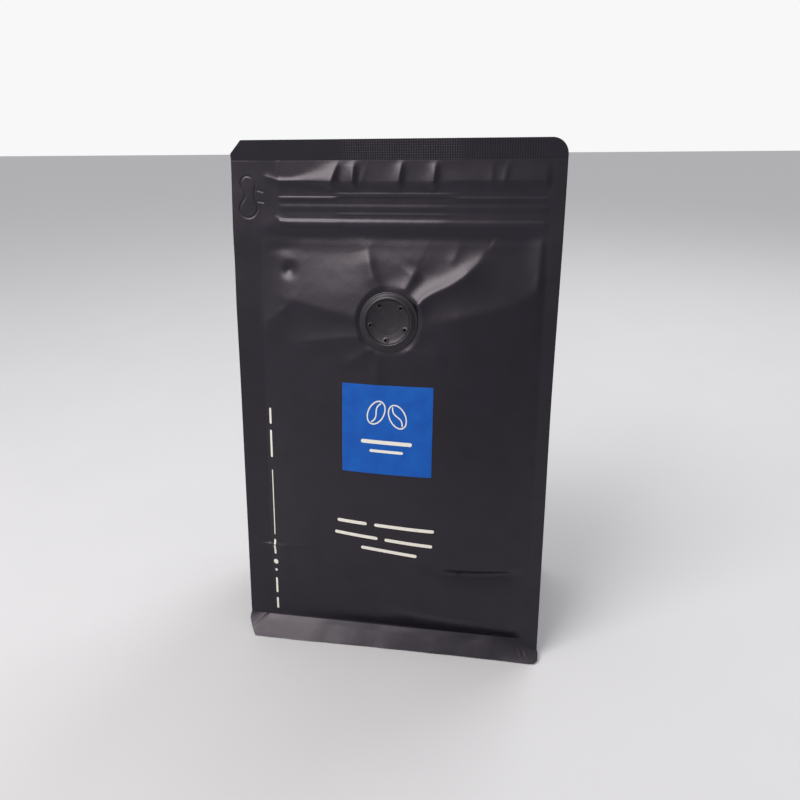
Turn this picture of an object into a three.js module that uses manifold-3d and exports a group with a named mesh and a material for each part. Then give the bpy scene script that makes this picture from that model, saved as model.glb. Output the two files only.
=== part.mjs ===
import * as THREE from 'three';
import { mergeVertices } from 'three/addons/utils/BufferGeometryUtils.js';
import Module from 'manifold-3d';

// A shut, filled coffee bag of matt black laminate, with a flat bottom, side gussets, four
// corner seams, a pressed top seal, a press-to-close strip, a degassing valve and a square label.
// Millimetres, +Z up, origin at the middle of the bottom, printed front towards -Y.
// The bag is shut, so film and coffee are one solid.

// Overall size
const WIDTH = 130;
const HEIGHT = 208.5;
const BASE_HALF_DEPTH = 33;

// Corner seams: the flat fins that stand out sideways from the filled body
const LEFT_FIN = 11.8;
const RIGHT_FIN = 6.3;
const FIN_THICKNESS = 0.8;
const SEAM_BOW = 1.6;
const SEAM_BOW_POWER = 1.4;
const WAIST_PULL = 1.1;
const WAIST_FROM = 100;
const WAIST_TO = 200;

// Top seal, and where the headspace starts to close into it
const SEAL_BOTTOM = 200.8;
const SEAL_HALF_THICKNESS = 0.5;
const CLOSING_FROM = 190;
const SEAL_OVERLAP = 0.4;
const SEAL_INSET = 0.1;
const CHAMFER_ACROSS = 4.6;
const CHAMFER_DOWN = 5.6;
const TOP_ROUND = 6;

// Bottom fold, and the two skirts that flare out below it
const FOLD_HEIGHT = 8.6;
const HEM_HALF_DEPTH = 36.9;
const HEM_HEIGHT = 0.45;
const SKIRT_THICKNESS = 0.8;
const SKIRT_HALF_WIDTH = 64.4;
const SKIRT_CHAMFER_ACROSS = 4;
const SKIRT_CHAMFER_UP = 6;
const SKIRT_ROUND = 3.5;
const SIDE_HEEL = 3;

// Belly that the coffee pushes out of the front, and the same out of the back
const BELLY_SIZE = 29.6;
const BELLY_RISE = 0.45;
const BELLY_FALL = 1.5;
const BELLY_PEAK_X = 8;
const BELLY_ROUNDNESS = 2.1;

// Side gussets: how far their middle crease goes in, from the fold up to the strip
const CREASE_SHARE_LOW = 0.62;
const CREASE_FULL_AT = 160;
const CREASE_ROOM = 0.85;
const SLIT_HALF_GAP = 0.15;

// Press-to-close strip: raised lines across the front
const STRIP_LEFT = -45.2;
const STRIP_RIGHT = 58.9;
const STRIP_END_FADE = 1.2;
const STRIP_LINES = [
  { height: 193.6, width: 1.5, rise: 1.1 },
  { height: 187.2, width: 1, rise: 0.45 },
  { height: 178.3, width: 1.2, rise: 0.9 },
];

// Folds of the slack film round the valve, dents low on the front, and headspace puckers.
// Each runs from one place to another; a negative rise is a hollow.
const FOLDS = [
  { from: [12, 149.5], to: [34.7, 168], width: 3.6, rise: 2 },
  { from: [16, 146], to: [35, 160], width: 3, rise: -1.3 },
  { from: [15, 143.6], to: [57, 156], width: 3.2, rise: 1.2 },
  { from: [-11, 168], to: [-4.5, 153.5], width: 3, rise: 1.1 },
  { from: [7.5, 162], to: [3.4, 154], width: 2.6, rise: 0.9 },
  { from: [-38, 149], to: [-13, 145], width: 4, rise: 1 },
  { from: [-53, 138], to: [-43, 146.5], width: 3, rise: 0.7 },
  { from: [-45.5, 161.5], to: [-43.5, 158.5], width: 3, rise: 0.9 },
  { from: [-19, 131.5], to: [-9.5, 136.5], width: 3, rise: -0.7 },
  { from: [-4.5, 128], to: [-3.5, 122], width: 3, rise: -0.6 },
  { from: [26, 42.3], to: [54, 40.4], width: 2.6, rise: -0.9 },
  { from: [16, 17.8], to: [51, 12.6], width: 3.2, rise: -1.6 },
  { from: [-56, 42], to: [-45, 42.3], width: 2.4, rise: -0.4 },
  { from: [-34, 195.5], to: [-27, 199], width: 3, rise: 0.8 },
  { from: [-20.5, 195], to: [-20, 199], width: 2.2, rise: 0.8 },
  { from: [2, 195], to: [3.5, 199], width: 2, rise: 0.7 },
  { from: [16.5, 195], to: [17, 199], width: 2, rise: 0.6 },
];

// Degassing valve
const VALVE_X = -0.1;
const VALVE_HEIGHT = 141.8;
const VALVE_RADIUS = 11.8;
const VALVE_RIDGE_RADIUS = 8.9;
const VALVE_RIDGE_WIDTH = 1.5;
const VALVE_RIDGE_RISE = 1.5;
const VALVE_FLANGE_RISE = 0.6;
const VALVE_DISH_RISE = 0.35;
const VALVE_DISH_DEPTH = 0.5;
const VALVE_SUNK = 0.9;
const VENT_COUNT = 5;
const VENT_RADIUS = 0.5;
const VENT_CIRCLE_RADIUS = 7.2;
const VENT_FIRST_ANGLE = 120;
const FILM_PULL_RADIUS = 3.5;

// Square label
const LABEL_CENTRE_X = -0.1;
const LABEL_WIDTH = 37;
const LABEL_BOTTOM = 81.7;
const LABEL_TOP = 117.5;
const LABEL_THICKNESS = 0.35;
const LABEL_CELLS = 9;

// Pressed outline of the pull tab on the left seam: two circles joined by a waist
const TAB_UPPER = { x: -57.7, height: 191.6, radius: 3.4 };
const TAB_LOWER = { x: -57.6, height: 182.8, radius: 3.7 };
const TAB_WAIST_HALF = 1.9;
const TAB_LINE_WIDTH = 0.5;
const TAB_LINE_DEPTH = 0.3;

// Gap kept between pieces that touch
const GAP = 0.3;

// How finely the body is divided
const FRONT_COLUMNS = 32;
const BACK_COLUMNS = 10;
const GUSSET_STEPS = 4;
const ROUND_STEPS = 40;
const BODY_ROWS = [
  0, 0.7, 2.4, 5, 8, FOLD_HEIGHT,
  12, 15.5, 20, 26, 32, 37, 41, 45, 51, 58, 66, 74, 82, 90, 98, 106, 114, 120, 124, 128,
  132, 136, 140, 144, 148, 152, 156, 160, 164, 168, 172,
  175.5, 177, 178.3, 179.6, 182.5, 185.7, 187.2, 188.7, 191.6, 193.6, 195.6, 198,
  SEAL_BOTTOM, SEAL_BOTTOM + SEAL_OVERLAP,
];

const LEFT_ROOT = -(WIDTH / 2 - LEFT_FIN);
const RIGHT_ROOT = WIDTH / 2 - RIGHT_FIN;

function smooth(from, to, value) {
  return THREE.MathUtils.smoothstep(value, from, to);
}

// Distance of the corner seams from the mid plane at a height: a straight taper from the
// base to the top with a slight bow, closing smoothly to the thickness of the top seal.
function seamDepth(z) {
  const share = z / HEIGHT;
  const open = BASE_HALF_DEPTH * (1 - share)
    + SEAM_BOW * Math.sin(Math.PI * share ** SEAM_BOW_POWER);
  const closing = smooth(CLOSING_FROM, SEAL_BOTTOM, z);
  return open * (1 - closing) + SEAL_HALF_THICKNESS * closing;
}

function halfWidth(z) {
  return WIDTH / 2 - WAIST_PULL * (1 - smooth(WAIST_FROM, WAIST_TO, z));
}

// Belly: rises steeply above the fold, falls slowly towards the top, and dies out at the seams
function bellyAt(x, z) {
  const share = (z - FOLD_HEIGHT) / (HEIGHT - FOLD_HEIGHT);
  if (share <= 0) return 0;
  const rise = BELLY_SIZE * share ** BELLY_RISE * (1 - share) ** BELLY_FALL;
  const root = x < BELLY_PEAK_X ? LEFT_ROOT : RIGHT_ROOT;
  const side = Math.min(Math.abs((x - BELLY_PEAK_X) / (root - BELLY_PEAK_X)), 1);
  return rise * (1 - side ** BELLY_ROUNDNESS);
}

// Height of a rounded ridge at a distance from its line
function ridge(distance, width, rise) {
  return rise * Math.exp(-((distance / width) ** 2));
}

function distanceToLine(x, z, from, to) {
  const along = [to[0] - from[0], to[1] - from[1]];
  const lengthSquared = along[0] ** 2 + along[1] ** 2;
  const share = ((x - from[0]) * along[0] + (z - from[1]) * along[1]) / lengthSquared;
  const held = THREE.MathUtils.clamp(share, 0, 1);
  return Math.hypot(x - from[0] - held * along[0], z - from[1] - held * along[1]);
}

// Relief of the front film: strip lines and folds, flat at the seams and under the valve
function frontRelief(x, z) {
  const ends = smooth(STRIP_LEFT - STRIP_END_FADE, STRIP_LEFT + STRIP_END_FADE, x)
    * (1 - smooth(STRIP_RIGHT - STRIP_END_FADE, STRIP_RIGHT, x));
  let lines = 0;
  for (const line of STRIP_LINES) {
    lines += ridge(z - line.height, line.width, line.rise);
  }
  let folds = 0;
  for (const fold of FOLDS) {
    folds += ridge(distanceToLine(x, z, fold.from, fold.to), fold.width, fold.rise);
  }
  const fromValve = Math.hypot(x - VALVE_X, z - VALVE_HEIGHT);
  const clear = smooth(VALVE_RADIUS, VALVE_RADIUS + FILM_PULL_RADIUS, fromValve);
  const flatSeal = 1 - smooth(SEAL_BOTTOM - 2, SEAL_BOTTOM, z);
  return (lines * ends + folds * clear) * flatSeal;
}

function frontDepth(x, z) {
  return seamDepth(z) + bellyAt(x, z);
}

// How far the underside has drawn in below the fold, as a quarter round
function heel(z, radius) {
  if (z >= radius) return 0;
  return radius - Math.sqrt(radius ** 2 - (radius - z) ** 2);
}

// One gusset in plan, from the front seam's root round the crease to the back seam's root.
// Both halves keep the length they have at the bottom, so what the inward fold doesn't use
// up shows as an outward bow.
function gussetPoints(root, side, z, halfGap, halfLength) {
  const full = Math.sqrt(Math.max(halfLength ** 2 - halfGap ** 2, 0));
  const share = CREASE_SHARE_LOW + (1 - CREASE_SHARE_LOW) * smooth(0, CREASE_FULL_AT, z);
  const depth = z <= FOLD_HEIGHT ? 0 : full * share;
  const chord = Math.hypot(halfGap, depth);
  const slack = Math.sqrt(Math.max((3 / 8) * chord * (halfLength - chord), 0));
  const room = depth > 0 ? (CREASE_ROOM * halfGap * chord) / (4 * depth) : 0;
  const bow = Math.min(slack, room);
  const front = [];
  for (let step = 1; step < GUSSET_STEPS; step += 1) {
    const t = step / GUSSET_STEPS;
    const out = 4 * bow * t * (1 - t);
    const x = root - side * depth * t + (side * out * halfGap) / chord;
    const y = -halfGap * (1 - t) + (out * depth) / chord;
    front.push([x, y]);
  }
  const back = front.map(([x, y]) => [x, -y]).reverse();
  return [...front, [root - side * depth, 0], ...back];
}

// Outline of the body in plan at one height, anticlockwise from the front left seam root.
// Below the fold the seams end and the underside draws in. Above the seal's lower edge the
// body draws in a little, so that it ends inside the seal's plate.
function outlineAt(z) {
  const low = z < FOLD_HEIGHT;
  const inset = low ? heel(z, FOLD_HEIGHT) : 0;
  const sideInset = heel(z, SIDE_HEEL);
  const seam = seamDepth(Math.max(z, FOLD_HEIGHT)) - inset;
  const sunk = z > SEAL_BOTTOM ? SEAL_INSET : 0;
  const face = seam - sunk;
  const thickness = Math.min(FIN_THICKNESS, face - SLIT_HALF_GAP);
  const finWidth = (root) => (low ? FIN_THICKNESS / 2 : halfWidth(z) - sunk - Math.abs(root));
  const halfLength = seamDepth(FOLD_HEIGHT) - FIN_THICKNESS;
  const left = LEFT_ROOT + sideInset;
  const right = RIGHT_ROOT - sideInset;
  const halfGap = face - thickness;
  const points = [];
  for (let column = 0; column <= FRONT_COLUMNS; column += 1) {
    const x = THREE.MathUtils.lerp(left, right, column / FRONT_COLUMNS);
    const belly = low ? 0 : frontDepth(x, z) - seam + frontRelief(x, z);
    points.push([x, -(face + belly)]);
  }
  const rightTip = right + finWidth(RIGHT_ROOT);
  points.push([rightTip, -face], [rightTip, -halfGap], [right, -halfGap]);
  points.push(...gussetPoints(right, 1, z, halfGap, halfLength));
  points.push([right, halfGap], [rightTip, halfGap], [rightTip, face]);
  for (let column = 0; column <= BACK_COLUMNS; column += 1) {
    const x = THREE.MathUtils.lerp(right, left, column / BACK_COLUMNS);
    const belly = low ? 0 : bellyAt(x, z);
    points.push([x, face + belly]);
  }
  const leftTip = left - finWidth(LEFT_ROOT);
  points.push([leftTip, face], [leftTip, halfGap], [left, halfGap]);
  points.push(...gussetPoints(left, -1, z, halfGap, halfLength).reverse());
  points.push([left, -halfGap], [leftTip, -halfGap], [leftTip, -face]);
  return points;
}

function geometryFrom(positions, triangles) {
  const geometry = new THREE.BufferGeometry();
  geometry.setAttribute('position', new THREE.Float32BufferAttribute(positions, 3));
  geometry.setIndex(triangles);
  return geometry;
}

// Closed body through a list of outlines with the same number of points, one above the other
function loft(rows, outline) {
  const rings = rows.map((z) => outline(z).map(([x, y]) => [x, y, z]));
  const count = rings[0].length;
  const triangles = [];
  for (let row = 0; row + 1 < rings.length; row += 1) {
    for (let i = 0; i < count; i += 1) {
      const a = row * count + i;
      const b = row * count + ((i + 1) % count);
      triangles.push(a, b, b + count, a, b + count, a + count);
    }
  }
  const last = (rings.length - 1) * count;
  const flat = (ring) => ring.map(([x, y]) => new THREE.Vector2(x, y));
  for (const [a, b, c] of THREE.ShapeUtils.triangulateShape(flat(rings[0]), [])) {
    triangles.push(a, c, b);
  }
  for (const [a, b, c] of THREE.ShapeUtils.triangulateShape(flat(rings.at(-1)), [])) {
    triangles.push(last + a, last + b, last + c);
  }
  return geometryFrom(rings.flat(2), triangles);
}

// Plate of an outline in the XY plane, grown towards +Z
function plate(shape, thickness) {
  return new THREE.ExtrudeGeometry(shape, {
    depth: thickness, bevelEnabled: false, curveSegments: 6,
  });
}

// Pressed seal across the top: chamfered at the left corner, rounded at the right one
function topSealGeometry() {
  const half = WIDTH / 2;
  const shape = new THREE.Shape();
  shape.moveTo(-half, SEAL_BOTTOM);
  shape.lineTo(half, SEAL_BOTTOM);
  shape.lineTo(half, HEIGHT - TOP_ROUND);
  shape.quadraticCurveTo(half, HEIGHT - TOP_ROUND / 3, half - TOP_ROUND, HEIGHT);
  shape.lineTo(-half + CHAMFER_ACROSS, HEIGHT);
  shape.lineTo(-half, HEIGHT - CHAMFER_DOWN);
  shape.closePath();
  const geometry = plate(shape, 2 * SEAL_HALF_THICKNESS);
  geometry.rotateX(Math.PI / 2);
  geometry.translate(0, SEAL_HALF_THICKNESS, 0);
  return geometry;
}

// Skirt: a flat flap from the fold down and out to the hem, on the front side
function skirtGeometry() {
  const foldDepth = seamDepth(FOLD_HEIGHT);
  const rise = FOLD_HEIGHT - HEM_HEIGHT;
  const flare = HEM_HALF_DEPTH - foldDepth;
  const length = Math.hypot(rise, flare);
  const half = SKIRT_HALF_WIDTH;
  const shape = new THREE.Shape();
  shape.moveTo(-half + SKIRT_CHAMFER_ACROSS, 0);
  shape.lineTo(half - SKIRT_ROUND, 0);
  shape.absarc(half - SKIRT_ROUND, SKIRT_ROUND, SKIRT_ROUND, -Math.PI / 2, 0, false);
  shape.lineTo(half, length);
  shape.lineTo(-half, length);
  shape.lineTo(-half, SKIRT_CHAMFER_UP);
  shape.closePath();
  const geometry = plate(shape, SKIRT_THICKNESS);
  geometry.translate(0, 0, -SKIRT_THICKNESS);
  geometry.rotateX(Math.atan2(rise, flare));
  geometry.translate(0, -HEM_HALF_DEPTH, HEM_HEIGHT);
  return geometry;
}

// Outline of the pull tab, grown by a margin: an arc over each circle, drawn in at the waist
function tabOutline(margin) {
  const shape = new THREE.Shape();
  const upper = TAB_UPPER.radius + margin;
  const lower = TAB_LOWER.radius + margin;
  const waist = TAB_WAIST_HALF + margin;
  const middle = (TAB_UPPER.height + TAB_LOWER.height) / 2;
  shape.moveTo(TAB_UPPER.x + upper, TAB_UPPER.height);
  shape.absarc(TAB_UPPER.x, TAB_UPPER.height, upper, 0, Math.PI, false);
  shape.quadraticCurveTo(TAB_UPPER.x - waist, middle, TAB_LOWER.x - lower, TAB_LOWER.height);
  shape.absarc(TAB_LOWER.x, TAB_LOWER.height, lower, Math.PI, 2 * Math.PI, false);
  shape.quadraticCurveTo(TAB_LOWER.x + waist, middle, TAB_UPPER.x + upper, TAB_UPPER.height);
  return shape;
}

// Cutter for the tab's pressed line, leaning with the seam so that its depth stays even
function tabLineGeometry() {
  const shape = tabOutline(TAB_LINE_WIDTH / 2);
  shape.holes.push(tabOutline(-TAB_LINE_WIDTH / 2));
  const geometry = plate(shape, 2 * TAB_LINE_DEPTH);
  geometry.rotateX(Math.PI / 2);
  const position = geometry.getAttribute('position');
  for (let i = 0; i < position.count; i += 1) {
    const seam = seamDepth(position.getZ(i));
    position.setY(i, position.getY(i) - seam + TAB_LINE_DEPTH);
  }
  return geometry;
}

// Centre of the valve on the film, and the direction in which it faces
function valveSeat() {
  const at = (x, z) => new THREE.Vector3(x, -frontDepth(x, z), z);
  const reach = VALVE_RADIUS / 2;
  const across = at(VALVE_X + reach, VALVE_HEIGHT).sub(at(VALVE_X - reach, VALVE_HEIGHT));
  const up = at(VALVE_X, VALVE_HEIGHT + reach).sub(at(VALVE_X, VALVE_HEIGHT - reach));
  return { centre: at(VALVE_X, VALVE_HEIGHT), normal: across.cross(up).normalize() };
}

function onSeat(geometry) {
  const { centre, normal } = valveSeat();
  const turn = new THREE.Quaternion().setFromUnitVectors(new THREE.Vector3(0, 1, 0), normal);
  geometry.applyQuaternion(turn);
  geometry.translate(centre.x, centre.y, centre.z);
  return geometry;
}

// Valve turned about +Y: a flange, a round-topped ridge and a dished middle
function valveGeometry() {
  const inner = VALVE_RIDGE_RADIUS - VALVE_RIDGE_WIDTH / 2;
  const outer = VALVE_RIDGE_RADIUS + VALVE_RIDGE_WIDTH / 2;
  const profile = [
    [0, -VALVE_SUNK],
    [VALVE_RADIUS, -VALVE_SUNK],
    [VALVE_RADIUS, VALVE_FLANGE_RISE * 0.6],
    [VALVE_RADIUS - 0.4, VALVE_FLANGE_RISE],
    [outer + 0.2, VALVE_FLANGE_RISE],
    [outer - 0.2, VALVE_RIDGE_RISE * 0.8],
    [VALVE_RIDGE_RADIUS, VALVE_RIDGE_RISE],
    [inner + 0.2, VALVE_RIDGE_RISE * 0.8],
    [inner - 0.2, VALVE_DISH_RISE],
    [VALVE_RIDGE_RADIUS / 2, VALVE_DISH_RISE - VALVE_DISH_DEPTH * 0.7],
    [0, VALVE_DISH_RISE - VALVE_DISH_DEPTH],
  ];
  const points = profile.map(([radius, height]) => new THREE.Vector2(radius, height));
  return new THREE.LatheGeometry(points, ROUND_STEPS);
}

function ventGeometry(index) {
  const angle = THREE.MathUtils.degToRad(VENT_FIRST_ANGLE - (index * 360) / VENT_COUNT);
  const geometry = new THREE.CylinderGeometry(VENT_RADIUS, VENT_RADIUS, 4, 10);
  const x = VENT_CIRCLE_RADIUS * Math.cos(angle);
  const z = -VENT_CIRCLE_RADIUS * Math.sin(angle);
  return geometry.translate(x, 0, z);
}

// Label: a thin sheet that follows the film at an even distance
function labelGeometry() {
  const positions = [];
  const triangles = [];
  const columns = LABEL_CELLS + 1;
  const layer = columns * columns;
  for (const lift of [GAP, GAP + LABEL_THICKNESS]) {
    for (let row = 0; row < columns; row += 1) {
      for (let column = 0; column < columns; column += 1) {
        const x = LABEL_CENTRE_X + LABEL_WIDTH * (column / LABEL_CELLS - 0.5);
        const z = THREE.MathUtils.lerp(LABEL_BOTTOM, LABEL_TOP, row / LABEL_CELLS);
        positions.push(x, -frontDepth(x, z) - lift, z);
      }
    }
  }
  const quad = (a, b, c, d) => triangles.push(a, b, c, a, c, d);
  for (let row = 0; row < LABEL_CELLS; row += 1) {
    for (let column = 0; column < LABEL_CELLS; column += 1) {
      const a = row * columns + column;
      quad(a, a + columns, a + columns + 1, a + 1);
      quad(layer + a, layer + a + 1, layer + a + columns + 1, layer + a + columns);
    }
  }
  for (let cell = 0; cell < LABEL_CELLS; cell += 1) {
    const top = LABEL_CELLS * columns + cell;
    const left = cell * columns;
    const right = left + LABEL_CELLS;
    quad(cell, cell + 1, layer + cell + 1, layer + cell);
    quad(top + 1, top, layer + top, layer + top + 1);
    quad(left + columns, left, layer + left, layer + left + columns);
    quad(right, right + columns, layer + right + columns, layer + right);
  }
  return geometryFrom(positions, triangles);
}

const wasm = await Module();
wasm.setup();

function solid(geometry) {
  const bare = geometry.clone();
  bare.deleteAttribute('normal');
  bare.deleteAttribute('uv');
  const merged = mergeVertices(bare, 1e-5);
  return new wasm.Manifold(new wasm.Mesh({
    numProp: 3,
    vertProperties: Float32Array.from(merged.getAttribute('position').array),
    triVerts: Uint32Array.from(merged.getIndex().array),
  }));
}

function geometryOf(body) {
  const mesh = body.getMesh();
  const geometry = geometryFrom(Array.from(mesh.vertProperties), Array.from(mesh.triVerts));
  geometry.computeVertexNormals();
  return geometry;
}

// Body, seal and both skirts joined, with the valve's seat and the tab's line cut in
function pouchGeometry() {
  const pocket = new THREE.CylinderGeometry(
    VALVE_RADIUS + GAP, VALVE_RADIUS + GAP, 8, ROUND_STEPS,
  );
  pocket.translate(0, 4 - VALVE_SUNK - GAP, 0);
  const backSkirt = skirtGeometry().rotateZ(Math.PI);
  return geometryOf(
    solid(loft(BODY_ROWS, outlineAt))
      .add(solid(topSealGeometry()))
      .add(solid(skirtGeometry()))
      .add(solid(backSkirt))
      .subtract(solid(onSeat(pocket)))
      .subtract(solid(tabLineGeometry())),
  );
}

function ventedValveGeometry() {
  let body = solid(onSeat(valveGeometry()));
  for (let index = 0; index < VENT_COUNT; index += 1) {
    body = body.subtract(solid(onSeat(ventGeometry(index))));
  }
  return geometryOf(body);
}

function piece(name, geometry, color, roughness) {
  const material = new THREE.MeshStandardMaterial({ color, roughness, metalness: 0 });
  const mesh = new THREE.Mesh(geometry, material);
  mesh.name = name;
  return mesh;
}

const group = new THREE.Group();
group.add(piece('pouch', pouchGeometry(), 0x34313a, 0.55));
group.add(piece('valve', ventedValveGeometry(), 0x343239, 0.5));
group.add(piece('label', labelGeometry(), 0x1c5daf, 0.45));

export default group;
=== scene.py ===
import math

import bpy
import numpy as np
from mathutils import Matrix, Vector


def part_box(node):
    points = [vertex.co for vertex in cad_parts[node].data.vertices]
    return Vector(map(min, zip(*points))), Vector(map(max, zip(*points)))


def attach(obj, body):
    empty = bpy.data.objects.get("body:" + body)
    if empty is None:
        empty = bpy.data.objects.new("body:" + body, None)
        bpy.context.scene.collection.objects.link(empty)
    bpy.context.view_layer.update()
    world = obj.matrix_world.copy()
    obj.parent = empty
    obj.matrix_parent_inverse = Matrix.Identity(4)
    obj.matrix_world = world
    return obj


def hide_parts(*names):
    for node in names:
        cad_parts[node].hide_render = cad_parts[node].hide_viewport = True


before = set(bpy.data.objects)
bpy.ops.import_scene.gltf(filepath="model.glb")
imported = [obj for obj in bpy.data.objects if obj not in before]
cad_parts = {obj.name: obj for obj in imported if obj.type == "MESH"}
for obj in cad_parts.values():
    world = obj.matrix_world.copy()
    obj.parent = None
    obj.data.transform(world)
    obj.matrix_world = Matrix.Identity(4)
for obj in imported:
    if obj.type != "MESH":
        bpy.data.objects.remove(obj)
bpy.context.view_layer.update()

# A shut, filled coffee bag of matt black laminate. All lengths are in millimetres until a
# mesh is written, in the frame's own axes: +Z up, printed front towards -Y.
MM = 0.001

pouch_low, pouch_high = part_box("pouch")
HALF_WIDTH = (pouch_high.x - pouch_low.x) / MM / 2
HEIGHT = pouch_high.z / MM

# Corner seams and the taper of the body, as in the solid
BASE_HALF_DEPTH = 32.3
SEAM_BOW = 1.6
SEAM_BOW_POWER = 1.4
LEFT_SEAM = 11.8
RIGHT_SEAM = 6.3
LEFT_ROOT = -(HALF_WIDTH - LEFT_SEAM)
RIGHT_ROOT = HALF_WIDTH - RIGHT_SEAM
WAIST_PULL = 1.1
WAIST_RANGE = (100.0, 200.0)
SEAL_BOTTOM = 200.8
SEAL_HALF_THICKNESS = 0.5
SEAL_TUCK = 0.5
CLOSING_FROM = 184.0
FILM = 0.22

# Strip: how far it holds the panels back and pinches the seams, where it ends on either side,
# where the folds below it die out, and the foot of the headspace over it
STRIP_HOLD = 1.8
HOLD_RANGE = (143.0, 200.8)
STRIP_PINCH = 0.9
PINCH_FROM = 168.0
STRIP_LEFT = -45.6
STRIP_RIGHT = (57.6, 59.6)
UNDER_STRIP = (171.0, 174.0)
HEADSPACE_FOOT = 193.4

# Bottom fold and skirts
FOLD_HEIGHT = 7.9
FOLD_DROP = 4.4
FOLD_BLEND = 10.0
HEM_HALF_DEPTH = 37.3
HEM_FLARE = 0.9
HEM_HEIGHT = 0.45
SKIRT_HALF_WIDTH = 64.4

# Belly, and how gently it rises from the fold: a little on the back, twice that on the front,
# and most at the front's left
BELLY_SIZE = 29.6
BELLY_RISE = 0.45
BELLY_FALL = 1.5
BELLY_PEAK_X = 8.0
BELLY_ROUNDNESS = 2.1
BELLY_END = (188.0, SEAL_BOTTOM - 0.5)
BACK_EASE = 0.006
FRONT_EASE = 0.006
LEFT_EASE = 0.03
LEFT_EASE_RANGE = (-8.0, 34.0)

# Valve and label, from the solids that they stand for
valve_low, valve_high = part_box("valve")
VALVE_X = (valve_low.x + valve_high.x) / MM / 2
VALVE_HEIGHT = 141.8
VALVE_RADIUS = (valve_high.x - valve_low.x) / MM / 2
label_low, label_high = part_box("label")
LABEL_X = (label_low.x / MM, label_high.x / MM)
LABEL_Z = (label_low.z / MM, label_high.z / MM)


def smooth(start, end, value):
    """Smoothstep: 0 before start, 1 after end and three squares less two cubes of the share
    between them, so that it starts and finishes level."""
    share = np.clip((value - start) / (end - start), 0.0, 1.0)
    return share * share * (3.0 - 2.0 * share)


def strip_hold(z):
    """How far the stiff strip holds the front back: a hump over the top third, half a sine wave
    to the power 1.5."""
    share = np.clip((z - HOLD_RANGE[0]) / (HOLD_RANGE[1] - HOLD_RANGE[0]), 0.0, 1.0)
    return STRIP_HOLD * np.sin(np.pi * share) ** 1.5


def seam_depth(z):
    """Distance of the corner seams from the mid plane: a straight taper with a slight bow, less
    half of what the strip holds back and its pinch, then an even slope to the seal."""
    low = np.minimum(z, CLOSING_FROM)
    share = np.clip(low / HEIGHT, 0.0, 1.0)
    bow = SEAM_BOW * np.sin(np.pi * share ** SEAM_BOW_POWER)
    held = 0.5 * strip_hold(low) + STRIP_PINCH * smooth(PINCH_FROM, CLOSING_FROM + 2.0, low)
    open_depth = BASE_HALF_DEPTH * (1.0 - share) + bow - held
    closing = np.clip((z - CLOSING_FROM) / (SEAL_BOTTOM - CLOSING_FROM), 0.0, 1.0)
    tucked = SEAL_TUCK * np.maximum(z - SEAL_BOTTOM, 0.0)
    return open_depth * (1.0 - closing) + SEAL_HALF_THICKNESS * closing - tucked


def half_width(z):
    """Half the width over the seams, drawn in a little where the belly is."""
    return HALF_WIDTH - WAIST_PULL * (1.0 - smooth(*WAIST_RANGE, z))


def belly(x, z, eased):
    """Bulge of the filled panel. Going up, it is a power of the share of the height above the
    fold times a power of the rest, steep at first and long towards the top, and next to none
    where the strip holds the film. Across, it is 1 less a power of the share of the way from
    its peak to the seam. Eased is 1 for the front and 0 for the back."""
    share = np.clip((z - FOLD_HEIGHT) / (HEIGHT - FOLD_HEIGHT), 0.0, 1.0)
    root = np.where(x < BELLY_PEAK_X, LEFT_ROOT, RIGHT_ROOT)
    side = np.minimum(np.abs((x - BELLY_PEAK_X) / (root - BELLY_PEAK_X)), 1.0)
    ease = BACK_EASE + eased * (FRONT_EASE + LEFT_EASE * (1.0 - smooth(*LEFT_EASE_RANGE, x)))
    size = BELLY_SIZE * share ** BELLY_RISE * (1.0 - share) ** BELLY_FALL * share / (share + ease)
    size = (size - 0.5 * strip_hold(z)) * (1.0 - smooth(*BELLY_END, z))
    return size * (1.0 - side ** BELLY_ROUNDNESS)


def curve_through(points, steps):
    """Smooth curve through the points (Catmull-Rom): each stretch is a cubic whose end
    directions follow the neighbouring points."""
    points = np.array(points, float)
    padded = np.concatenate([[2 * points[0] - points[1]], points, [2 * points[-1] - points[-2]]])
    t = np.linspace(0, 1, steps, endpoint=False)[:, None]
    runs = []
    for a, b, c, d in zip(padded, padded[1:], padded[2:], padded[3:]):
        bend = 2 * a - 5 * b + 4 * c - d + t * (3 * (b - c) + d - a)
        runs.append(b + 0.5 * t * (c - a + t * bend))
    return np.concatenate([*runs, points[-1:]])


def along_path(x, z, path):
    """Nearest place on a smooth path: distance, side (+ to the left) and share of its length.
    The path is cut into short straight runs, one alone where it has only two places, and the
    nearest place on a run is the foot of the perpendicular, or an end of the run."""
    points = curve_through(path, 5 if len(path) > 2 else 1)
    runs = np.diff(points, axis=0)
    lengths = np.hypot(runs[:, 0], runs[:, 1])
    starts = np.concatenate([[0.0], np.cumsum(lengths)])
    best = np.full(x.shape, np.inf)
    side = np.zeros(x.shape)
    share = np.zeros(x.shape)
    for start, run, length, before in zip(points, runs, lengths, starts):
        step = np.clip(((x - start[0]) * run[0] + (z - start[1]) * run[1]) / length ** 2, 0.0, 1.0)
        off_x = x - start[0] - step * run[0]
        off_z = z - start[1] - step * run[1]
        distance = np.hypot(off_x, off_z)
        nearer = distance < best
        best = np.where(nearer, distance, best)
        side = np.where(nearer, np.sign(run[0] * off_z - run[1] * off_x), side)
        share = np.where(nearer, (before + step * length) / starts[-1], share)
    return best, side, share


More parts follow.
